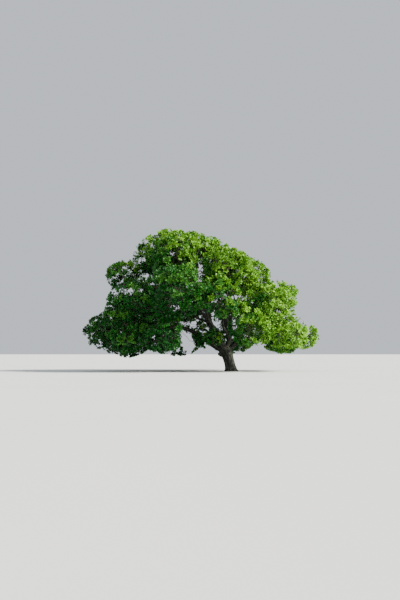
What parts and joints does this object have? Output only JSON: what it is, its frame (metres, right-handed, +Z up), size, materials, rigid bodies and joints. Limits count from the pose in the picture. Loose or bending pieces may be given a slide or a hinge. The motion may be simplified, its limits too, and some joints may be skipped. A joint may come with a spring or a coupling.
{
  "type": "oak tree",
  "caption": "Free-standing mature oak with a short leaning trunk, crooked spreading boughs and a broad, low, domed crown of leafy masses.",
  "frame": {"origin": "middle of the flat cut under the trunk, at ground level", "axes": "+Z up from the ground; +X along the crown's greatest width, to the right in the front view; the front of the tree faces -Y, and the trunk leans towards -X"},
  "size_m": [19.6911, 14.7001, 11.9984],
  "materials": {
    "bark": "rough, deeply furrowed",
    "foliage": "matt, fresh green"
  },
  "bodies": {
    "root": {"trunk": "bark", "bough_inner_front": "bark", "bough_middle_back_left": "bark", "bough_middle_back_right": "bark", "bough_middle_front_left": "bark", "bough_middle_front_right": "bark", "bough_middle_left": "bark", "bough_middle_left_back": "bark", "bough_middle_left_front": "bark", "bough_middle_right": "bark", "bough_middle_right_back": "bark", "bough_middle_right_front": "bark", "bough_skirt_back_left": "bark", "bough_skirt_back_right": "bark", "bough_skirt_front_left": "bark", "bough_skirt_front_right": "bark", "bough_skirt_left": "bark", "bough_skirt_left_back": "bark", "bough_skirt_left_front": "bark", "bough_skirt_right": "bark", "bough_skirt_right_back": "bark", "bough_skirt_right_front": "bark", "bough_top_left": "bark", "bough_top_right": "bark", "bough_upper_back_left": "bark", "bough_upper_back_right": "bark", "bough_upper_front_left": "bark", "bough_upper_front_right": "bark", "bough_upper_left": "bark", "bough_upper_right": "bark", "foliage_inner_front": "foliage", "foliage_middle_back_left": "foliage", "foliage_middle_back_right": "foliage", "foliage_middle_front_left": "foliage", "foliage_middle_front_right": "foliage", "foliage_middle_left": "foliage", "foliage_middle_left_back": "foliage", "foliage_middle_left_front": "foliage", "foliage_middle_right": "foliage", "foliage_middle_right_back": "foliage", "foliage_middle_right_front": "foliage", "foliage_skirt_back_left": "foliage", "foliage_skirt_back_right": "foliage", "foliage_skirt_front_left": "foliage", "foliage_skirt_front_right": "foliage", "foliage_skirt_left": "foliage", "foliage_skirt_left_back": "foliage", "foliage_skirt_left_front": "foliage", "foliage_skirt_right": "foliage", "foliage_skirt_right_back": "foliage", "foliage_skirt_right_front": "foliage", "foliage_top_left": "foliage", "foliage_top_right": "foliage", "foliage_upper_back_left": "foliage", "foliage_upper_back_right": "foliage", "foliage_upper_front_left": "foliage", "foliage_upper_front_right": "foliage", "foliage_upper_left": "foliage", "foliage_upper_right": "foliage"}
  },
  "joints": []
}
